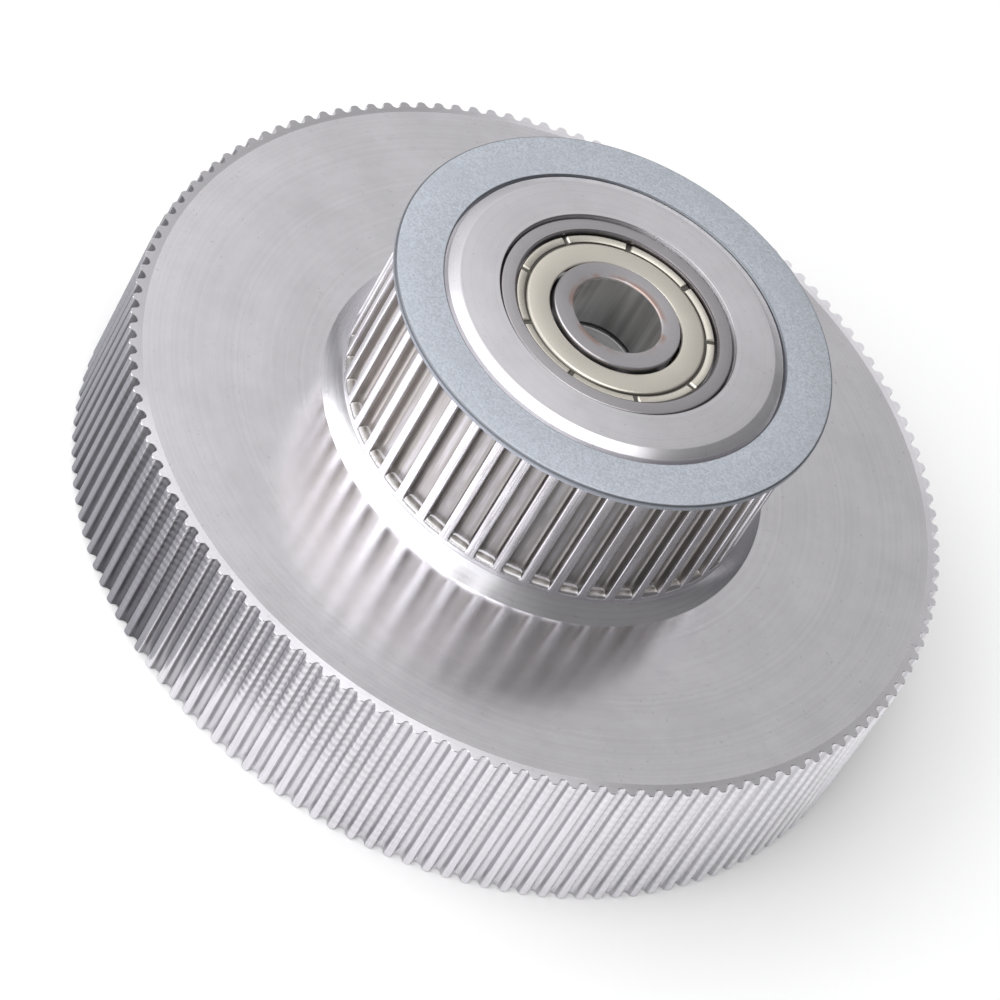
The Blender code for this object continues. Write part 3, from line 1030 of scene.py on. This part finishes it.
def build_camera(settings):
    """Camera in front of -Y, tilted down by elevation and rolled about its own axis."""
    rise, roll = settings.elevation, settings.roll
    right = Vector((1.0, 0.0, 0.0))
    ahead = Vector((0.0, cos(rise), -sin(rise)))
    above = Vector((0.0, sin(rise), cos(rise)))
    across = right * cos(roll) - above * sin(roll)
    upward = right * sin(roll) + above * cos(roll)
    aim = Vector((0.0, 0.0, bpy.context.scene.wheel_sizes.large_width))
    eye = aim - across * settings.aside - upward * settings.above - ahead * settings.distance
    data = bpy.data.cameras.new("camera")
    data.lens = settings.lens
    data.sensor_width = 36.0
    data.clip_end = 20.0
    camera = bpy.data.objects.new("camera", data)
    axes = Matrix((across, upward, -ahead)).transposed().to_4x4()
    camera.matrix_world = Matrix.Translation(eye) @ axes
    bpy.context.scene.collection.objects.link(camera)
    bpy.context.scene.camera = camera


def from_direction(azimuth, elevation, reach):
    """The place that lies in one direction from the wheel, in degrees."""
    turn, rise = radians(azimuth), radians(elevation)
    return Vector((cos(rise) * cos(turn), cos(rise) * sin(turn), sin(rise))) * reach


def build_card(settings):
    """A dark card beside the large wheel that only reflections see."""
    card = flat_sheet("dark_card", *settings.card_size, matte("card_grey", (0.40, 0.40, 0.42)))
    card.location = from_direction(settings.card_turn, 0.0, settings.card_reach)
    card.location.z = -0.02 * MM
    card.rotation_euler.z = radians(settings.card_turn)
    card.visible_camera = card.visible_diffuse = card.visible_shadow = False


def softbox(name, eye, width, height, radiance, tint):
    """A rectangular light that faces the wheel."""
    data = bpy.data.lights.new(name, "AREA")
    data.shape = "RECTANGLE"
    data.size = width
    data.size_y = height
    data.energy = radiance * pi * width * height
    data.color = tint
    light = bpy.data.objects.new(name, data)
    light.location = eye
    light.rotation_euler = (LIGHT_AIM - eye).to_track_quat("-Z", "Y").to_euler()
    bpy.context.scene.collection.objects.link(light)


def build_lights():
    """All the softboxes, at one distance."""
    for name, azimuth, elevation, width, height, radiance, tint in SOFTBOXES:
        softbox(name, from_direction(azimuth, elevation, LIGHT_REACH), width, height, radiance, tint)


def build_surround(settings):
    """A surround that is lighter on the left than on the right, and dark at the horizon."""
    world = bpy.data.worlds.new("studio")
    bpy.context.scene.world = world
    world.use_nodes = True
    graph = Graph(world.node_tree, "Background")
    side, _, height = graph.node("ShaderNodeTexCoord", output="Generated").parts()
    across = graph.mix(side.band(-0.55, 0.72), settings.sky, shade(settings.sky, 0.27))
    horizon = (1 - height.band(0.02, 0.34)) * 0.8
    graph.set("Color", graph.mix(horizon, across, (0.12, 0.12, 0.13)))
    graph.set("Strength", 0.80)


def build_stage(scene):
    """Camera, floor, card and lights."""
    settings = scene.stage_settings
    build_camera(settings)
    build_floor(settings)
    build_card(settings)
    build_lights()
    build_surround(settings)
    bpy.context.scene.view_settings.view_transform = "Standard"


# Operators, panel and registration.


class WHEEL_OT_stage(bpy.types.Operator):
    """Set up the floor, the soft lights and the camera"""

    bl_idname = "belt_wheel.stage"
    bl_label = "Stage"

    def execute(self, context):
        build_stage(context.scene)
        return {"FINISHED"}


class WHEEL_OT_body(bpy.types.Operator):
    """Turn the body and cut the teeth of both belt wheels"""

    bl_idname = "belt_wheel.body"
    bl_label = "Wheel Body"

    def execute(self, context):
        build_body(context.scene)
        return {"FINISHED"}


class WHEEL_OT_flange(bpy.types.Operator):
    """Press the small wheel's flange"""

    bl_idname = "belt_wheel.flange"
    bl_label = "Flange"

    def execute(self, context):
        build_flange(context.scene)
        return {"FINISHED"}


class WHEEL_OT_rings(bpy.types.Operator):
    """Turn the inner and outer rings of both bearings"""

    bl_idname = "belt_wheel.rings"
    bl_label = "Bearing Rings"

    def execute(self, context):
        build_rings(context.scene)
        return {"FINISHED"}


class WHEEL_OT_covers(bpy.types.Operator):
    """Press the notched covers of both bearings"""

    bl_idname = "belt_wheel.covers"
    bl_label = "Bearing Covers"

    def execute(self, context):
        build_covers(context.scene)
        return {"FINISHED"}


class WHEEL_OT_cages(bpy.types.Operator):
    """Stamp the ribbon cages"""

    bl_idname = "belt_wheel.cages"
    bl_label = "Ball Cages"

    def execute(self, context):
        build_cages(context.scene)
        return {"FINISHED"}


class WHEEL_OT_balls(bpy.types.Operator):
    """Place the balls in their cages"""

    bl_idname = "belt_wheel.balls"
    bl_label = "Balls"

    def execute(self, context):
        build_balls(context.scene)
        return {"FINISHED"}


class WHEEL_OT_sleeve(bpy.types.Operator):
    """Turn the sleeve between the inner rings"""

    bl_idname = "belt_wheel.sleeve"
    bl_label = "Spacer Sleeve"

    def execute(self, context):
        build_sleeve(context.scene)
        return {"FINISHED"}


OPERATORS = (
    WHEEL_OT_stage, WHEEL_OT_body, WHEEL_OT_flange, WHEEL_OT_rings,
    WHEEL_OT_covers, WHEEL_OT_cages, WHEEL_OT_balls, WHEEL_OT_sleeve,
)


class WHEEL_PT_panel(bpy.types.Panel):
    """Lists the steps that build the belt wheel"""

    bl_label = "Belt Wheel"
    bl_idname = "WHEEL_PT_panel"
    bl_space_type = "VIEW_3D"
    bl_region_type = "UI"
    bl_category = "Belt Wheel"

    def draw(self, context):
        for operator in OPERATORS:
            self.layout.operator(operator.bl_idname)


GROUPS = {
    "wheel_sizes": WheelSizes,
    "bearing_sizes": BearingSizes,
    "wheel_finishes": Finishes,
    "stage_settings": StageSettings,
}


def register():
    """Registers the classes, and hangs the settings on the scene."""
    for cls in (*GROUPS.values(), *OPERATORS, WHEEL_PT_panel):
        bpy.utils.register_class(cls)
    for name, group in GROUPS.items():
        setattr(bpy.types.Scene, name, PointerProperty(type=group))


def unregister():
    """Takes the settings and the classes away again."""
    for name in GROUPS:
        delattr(bpy.types.Scene, name)
    for cls in reversed((*GROUPS.values(), *OPERATORS, WHEEL_PT_panel)):
        bpy.utils.unregister_class(cls)


def main():
    """Builds everything in order."""
    register()
    bpy.ops.belt_wheel.stage()
    bpy.ops.belt_wheel.body()
    bpy.ops.belt_wheel.flange()
    bpy.ops.belt_wheel.rings()
    bpy.ops.belt_wheel.covers()
    bpy.ops.belt_wheel.cages()
    bpy.ops.belt_wheel.balls()
    bpy.ops.belt_wheel.sleeve()


if __name__ == "__main__":
    main()
